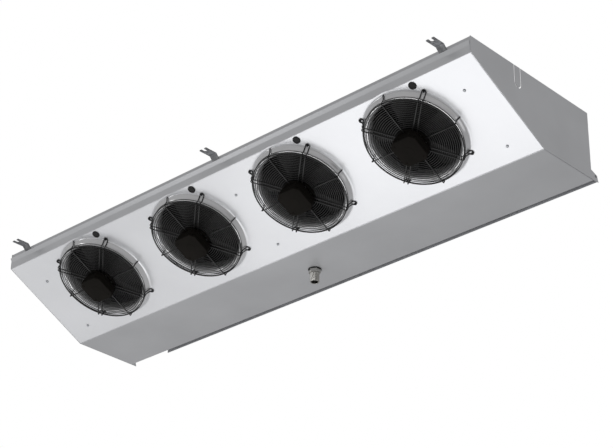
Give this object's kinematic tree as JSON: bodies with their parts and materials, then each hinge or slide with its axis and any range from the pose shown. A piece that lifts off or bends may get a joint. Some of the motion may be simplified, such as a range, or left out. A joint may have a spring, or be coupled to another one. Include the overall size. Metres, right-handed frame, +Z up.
{
  "type": "walk-in unit cooler",
  "caption": "Low ceiling-hung evaporator cooler with fans in a sloping front plate, a finned coil behind it and a hinged drip tray with a central drain.",
  "frame": {"origin": "in the ceiling plane, at mid-length, midway between the front and rear hanging slots", "axes": "+X along the cooler to the viewer's right when facing the fans, +Y from the fans to the coil face, +Z up"},
  "size_m": [1.744, 0.6, 0.2357],
  "materials": {
    "sheet_grey": "satin",
    "sheet_white": "satin",
    "galvanised": "matte",
    "bracket_steel": "matte",
    "fin_aluminium": "satin",
    "copper": "satin",
    "black_wire": "gloss",
    "motor_black": "satin",
    "rotor_black": "satin",
    "black_rubber": "matte",
    "zinc": "satin",
    "dark_steel": "satin",
    "bright_metal": "satin",
    "box_plastic": "matte"
  },
  "bodies": {
    "casing": {"top_panel": "sheet_grey", "front_rail": "sheet_grey", "rear_rail": "sheet_grey", "end_panel_left": "sheet_grey", "end_panel_right": "sheet_grey", "frame_left": "galvanised", "frame_centre": "galvanised", "frame_right": "galvanised", "bracket_front_left": "bracket_steel", "bracket_front_centre": "bracket_steel", "bracket_front_right": "bracket_steel", "bracket_rear_left": "bracket_steel", "bracket_rear_centre": "bracket_steel", "bracket_rear_right": "bracket_steel", "coil_fins": "fin_aluminium", "coil_tubes": "copper", "suction_header": "copper", "liquid_header": "copper", "hinge_rod": "bracket_steel", "terminal_box": "box_plastic", "terminal_lid": "box_plastic"},
    "fan_tray": {"fan_plate": "sheet_white", "drip_tray": "sheet_white", "plate_screws": "zinc", "cable_grommets": "black_rubber", "drain_nipple": "bright_metal", "drain_gasket": "black_rubber", "drain_nut": "bright_metal", "guard_screws": "dark_steel", "motor_spacers": "zinc", "guard_rings_1": "black_wire", "fan_guard_1": "black_wire", "fan_motor_1": "motor_black", "guard_rings_2": "black_wire", "fan_guard_2": "black_wire", "fan_motor_2": "motor_black", "guard_rings_3": "black_wire", "fan_guard_3": "black_wire", "fan_motor_3": "motor_black", "guard_rings_4": "black_wire", "fan_guard_4": "black_wire", "fan_motor_4": "motor_black"},
    "rotor_1": {"fan_rotor_1": "rotor_black"},
    "rotor_2": {"fan_rotor_2": "rotor_black"},
    "rotor_3": {"fan_rotor_3": "rotor_black"},
    "rotor_4": {"fan_rotor_4": "rotor_black"}
  },
  "joints": [
    {"name": "tray_drop", "type": "hinge", "parent": "casing", "child": "fan_tray", "pos_m": [0, 0.2575, -0.18206], "axis": [1, 0, 0], "range_deg": [0, 70]},
    {"name": "fan_spin_1", "type": "hinge", "parent": "fan_tray", "child": "rotor_1", "pos_m": [-0.59025, -0.12979, -0.14269], "axis": [0, -0.4573, -0.8893], "continuous": true},
    {"name": "fan_spin_2", "type": "hinge", "parent": "fan_tray", "child": "rotor_2", "pos_m": [-0.19675, -0.12979, -0.14269], "axis": [0, -0.4573, -0.8893], "continuous": true},
    {"name": "fan_spin_3", "type": "hinge", "parent": "fan_tray", "child": "rotor_3", "pos_m": [0.19675, -0.12979, -0.14269], "axis": [0, -0.4573, -0.8893], "continuous": true},
    {"name": "fan_spin_4", "type": "hinge", "parent": "fan_tray", "child": "rotor_4", "pos_m": [0.59025, -0.12979, -0.14269], "axis": [0, -0.4573, -0.8893], "continuous": true}
  ]
}
